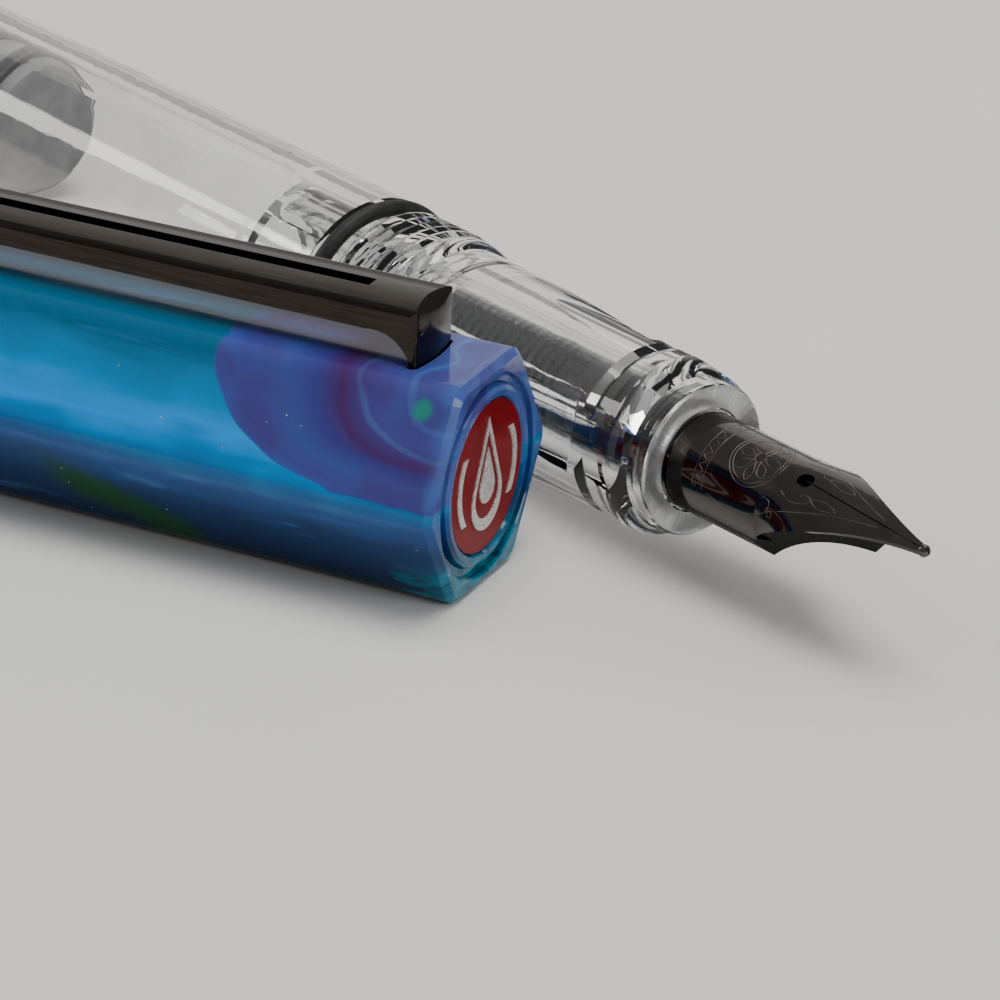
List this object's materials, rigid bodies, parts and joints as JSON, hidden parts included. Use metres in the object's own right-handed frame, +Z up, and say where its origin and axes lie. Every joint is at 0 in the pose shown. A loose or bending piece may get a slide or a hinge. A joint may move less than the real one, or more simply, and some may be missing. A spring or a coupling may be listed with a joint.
{
  "type": "fountain pen",
  "caption": "Uncapped clear piston-filling fountain pen with black nib and faceted grip, its hexagonal marbled resin cap with slotted clip lying beside it.",
  "frame": {"origin": "bottom centre of the box round the pen and its cap, on the surface that they lie on", "axes": "+X along the pen's axis towards the nib, +Z up; the cap lies on the -Y side with its closed end turned 23.3 degrees from +X towards +Y"},
  "size_m": [0.1332, 0.0476, 0.0173],
  "materials": {
    "clear_acrylic": "clear polished acrylic",
    "clear_acrylic_inner": "clear moulded acrylic",
    "liner_plastic": "frosted moulded plastic",
    "black_rubber": "black rubber",
    "seal_rubber": "black silicone",
    "smoke_plastic": "grey translucent plastic",
    "gunmetal": "polished dark gunmetal",
    "steel": "machined steel",
    "black_nib_steel": "gloss black coated steel",
    "nib_alloy": "polished tipping alloy",
    "feed_plastic": "black moulded plastic",
    "swirl_resin": "polished marbled resin, blue with teal and violet swirls",
    "red_enamel": "dark red enamel",
    "silver_inlay": "silver metallic print"
  },
  "bodies": {
    "pen_body": {"barrel": "clear_acrylic", "grip_section": "clear_acrylic", "feed_housing": "clear_acrylic_inner", "barrel_o_ring": "black_rubber", "piston_sleeve": "smoke_plastic", "barrel_trim_ring": "gunmetal"},
    "nib_unit": {"nib": "black_nib_steel", "nib_tipping": "nib_alloy", "feed": "feed_plastic"},
    "piston": {"piston_rod": "smoke_plastic", "piston_head": "smoke_plastic", "piston_seal_front": "seal_rubber", "piston_seal_rear": "seal_rubber"},
    "knob_carrier": {"knob_o_ring": "black_rubber"},
    "knob": {"piston_knob": "swirl_resin", "drive_spindle": "steel"},
    "cap_carrier": {"inner_cap": "liner_plastic"},
    "cap": {"cap_shell": "swirl_resin", "cap_band": "gunmetal", "finial": "swirl_resin", "finial_screw": "steel", "emblem_disc": "red_enamel", "emblem_motif": "silver_inlay"},
    "clip": {"clip": "gunmetal"}
  },
  "joints": [
    {"name": "nib_pull", "type": "slide", "parent": "pen_body", "child": "nib_unit", "axis": [1, 0, 0], "range_m": [0, 0.025]},
    {"name": "knob_back", "type": "slide", "parent": "pen_body", "child": "knob_carrier", "axis": [-1, 0, 0], "range_m": [0, 0.005]},
    {"name": "knob_turn", "type": "hinge", "parent": "knob_carrier", "child": "knob", "pos_m": [-0.05887, 0.01748, 0.00635], "axis": [-1, 0, 0], "range_deg": [0, 1440]},
    {"name": "piston_travel", "type": "slide", "parent": "pen_body", "child": "piston", "axis": [1, 0, 0], "range_m": [0, 0.024]},
    {"name": "cap_advance", "type": "slide", "parent": "pen_body", "child": "cap_carrier", "axis": [-0.9184, -0.3955, 0], "range_m": [0, 0.048]},
    {"name": "cap_twist", "type": "hinge", "parent": "cap_carrier", "child": "cap", "pos_m": [0.01647, -0.00585, 0.0068], "axis": [0.9184, 0.3955, 0], "range_deg": [0, 180]},
    {"name": "clip_flex", "type": "hinge", "parent": "cap", "child": "clip", "pos_m": [0.03842, 0.00361, 0.0136], "axis": [-0.3955, 0.9184, 0], "range_deg": [0, 2.5], "stiffness_Nm_per_rad": 0.5}
  ],
  "couplings": [
    {"joint": "knob_turn", "follows": "piston_travel", "rad_per_m": 1047.2},
    {"joint": "knob_back", "follows": "piston_travel", "ratio": 0.20833}
  ]
}
